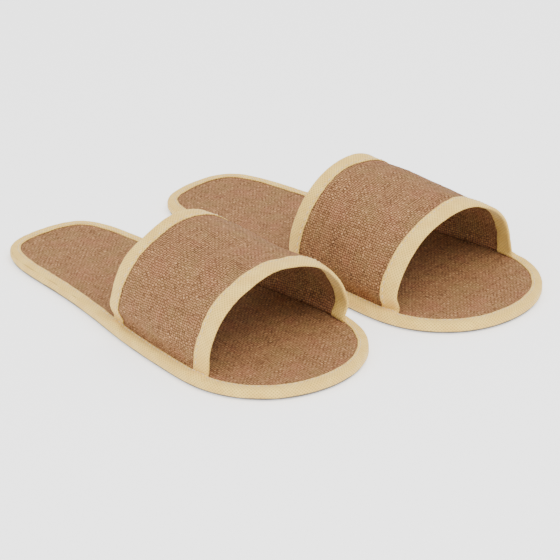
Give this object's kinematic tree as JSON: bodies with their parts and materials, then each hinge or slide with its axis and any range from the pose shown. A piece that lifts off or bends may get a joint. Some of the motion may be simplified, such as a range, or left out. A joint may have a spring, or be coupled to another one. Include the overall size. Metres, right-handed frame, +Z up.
{
  "type": "spa slippers",
  "caption": "Open-toe backless spa slippers with a hessian upper and insole, cream taped edges, foam sole and studded non-slip outsole.",
  "frame": {"origin": "under the middle of the pair, on the surface the slippers stand on", "axes": "+Z up, +Y towards the toes; the wearer's right slipper is at +X, and each slipper turns outwards by 2.75 degrees"},
  "size_m": [0.2646, 0.2948, 0.0655],
  "materials": {
    "outsole_rubber": "matte",
    "eva_foam": "matte",
    "hessian": "woven",
    "binding_tape": "embossed non-woven",
    "thread": "matte"
  },
  "bodies": {
    "right_slipper": {"right_outsole": "outsole_rubber", "right_foam_core": "eva_foam", "right_insole_cover": "hessian", "right_edge_tape": "binding_tape", "right_edge_stitches": "thread", "right_upper_panel": "hessian", "right_front_hem": "binding_tape", "right_rear_hem": "binding_tape", "right_front_hem_stitches": "thread", "right_rear_hem_stitches": "thread"},
    "right_toe": {"right_toe_outsole": "outsole_rubber", "right_toe_foam_core": "eva_foam", "right_toe_insole_cover": "hessian", "right_toe_edge_tape": "binding_tape", "right_toe_edge_stitches": "thread"},
    "left_slipper": {"left_outsole": "outsole_rubber", "left_foam_core": "eva_foam", "left_insole_cover": "hessian", "left_edge_tape": "binding_tape", "left_edge_stitches": "thread", "left_upper_panel": "hessian", "left_front_hem": "binding_tape", "left_rear_hem": "binding_tape", "left_front_hem_stitches": "thread", "left_rear_hem_stitches": "thread"},
    "left_toe": {"left_toe_outsole": "outsole_rubber", "left_toe_foam_core": "eva_foam", "left_toe_insole_cover": "hessian", "left_toe_edge_tape": "binding_tape", "left_toe_edge_stitches": "thread"}
  },
  "joints": [
    {"name": "left_slipper_lift", "type": "slide", "parent": "right_slipper", "child": "left_slipper", "axis": [0, 0, 1], "range_m": [0, 0.15]},
    {"name": "right_toe_bend", "type": "hinge", "parent": "right_slipper", "child": "right_toe", "pos_m": [0.0707, 0.08589, 0.0075], "axis": [0.9988, -0.048, 0], "range_deg": [0, 45], "stiffness_Nm_per_rad": 0.06},
    {"name": "left_toe_bend", "type": "hinge", "parent": "left_slipper", "child": "left_toe", "pos_m": [-0.0707, 0.10089, 0.0075], "axis": [0.9988, 0.048, 0], "range_deg": [0, 45], "stiffness_Nm_per_rad": 0.06}
  ]
}
